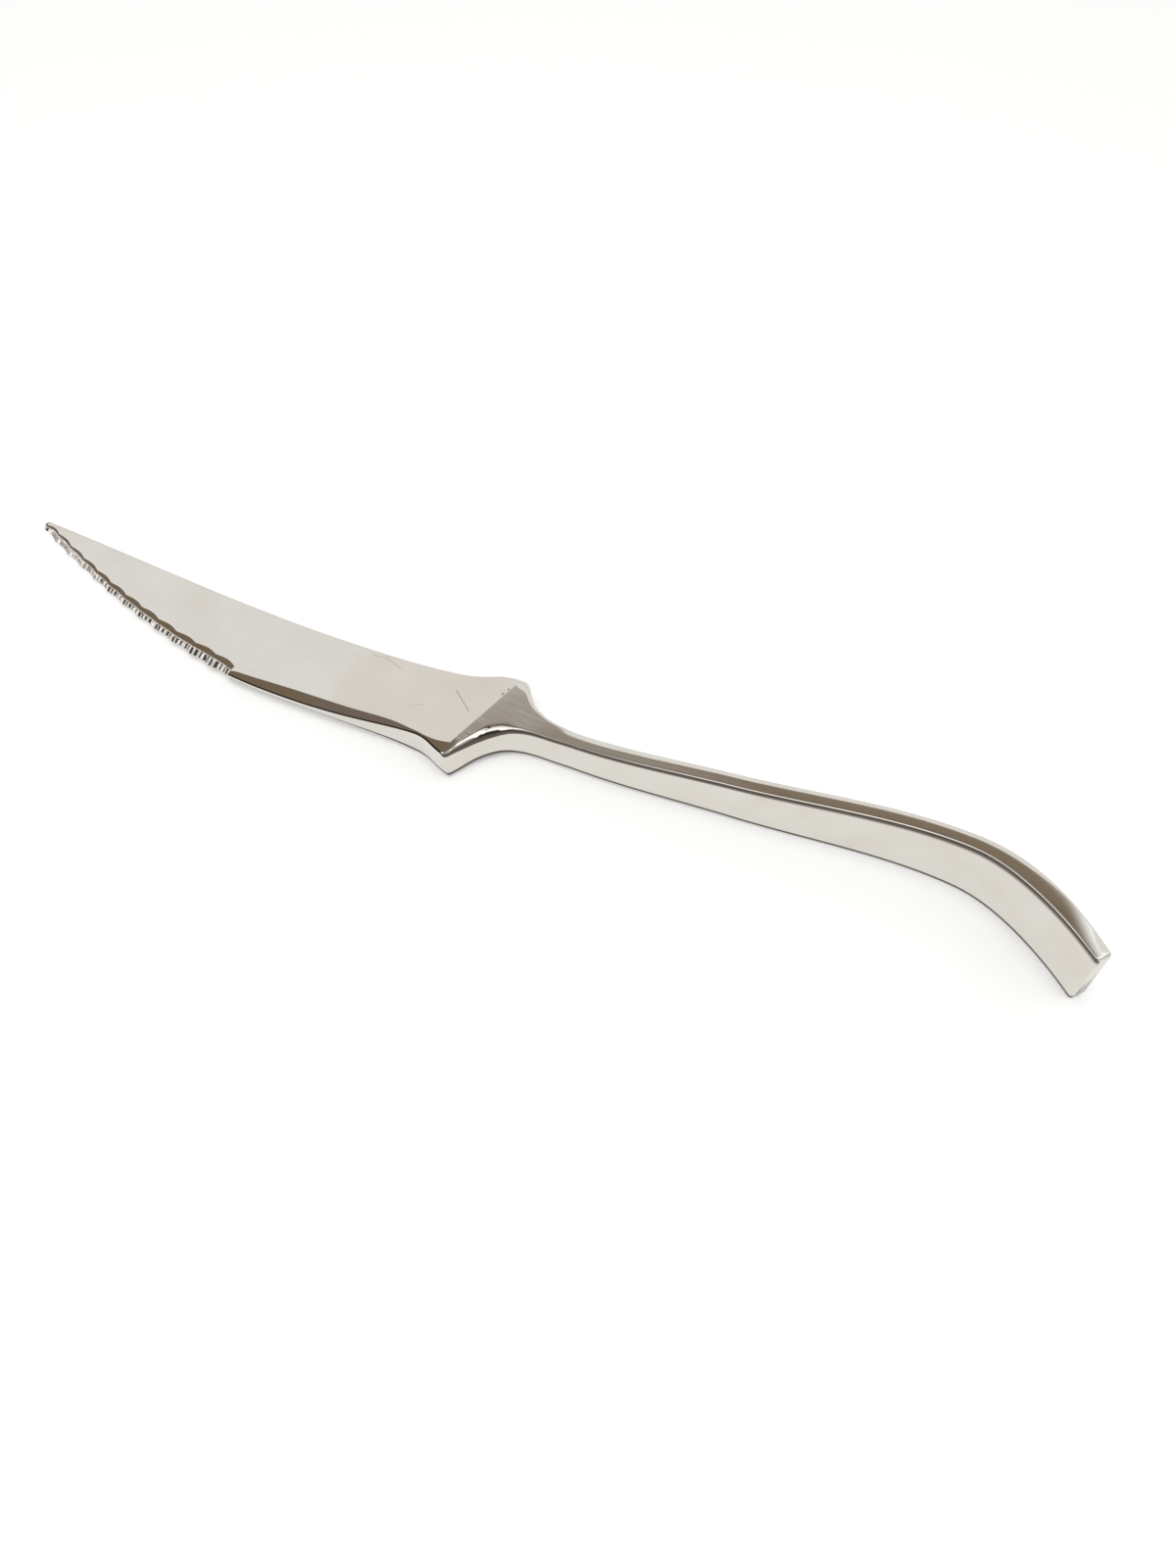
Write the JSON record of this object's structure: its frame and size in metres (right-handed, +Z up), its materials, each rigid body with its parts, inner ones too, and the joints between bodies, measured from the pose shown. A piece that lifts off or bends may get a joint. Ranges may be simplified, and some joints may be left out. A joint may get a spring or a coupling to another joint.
{
  "type": "steak knife",
  "caption": "Polished all-steel steak knife with a scalloped serrated blade, winged bolster and flat S-curved strip handle, lying on its side.",
  "frame": {"origin": "middle of the knife's footprint on the table, at table height", "axes": "+X from the blade's tip to the end of the handle, +Y from the cutting edge to the spine, +Z up off the table"},
  "size_m": [0.2358, 0.0312, 0.0172],
  "materials": {
    "blade": "mirror-polished stainless steel",
    "handle": "mirror-polished stainless steel with a satin bolster facet",
    "tang_braze": "silver brazing filler, hidden in the joint"
  },
  "bodies": {
    "root": {"blade": "blade", "handle": "handle", "tang_braze": "tang_braze"}
  },
  "joints": []
}
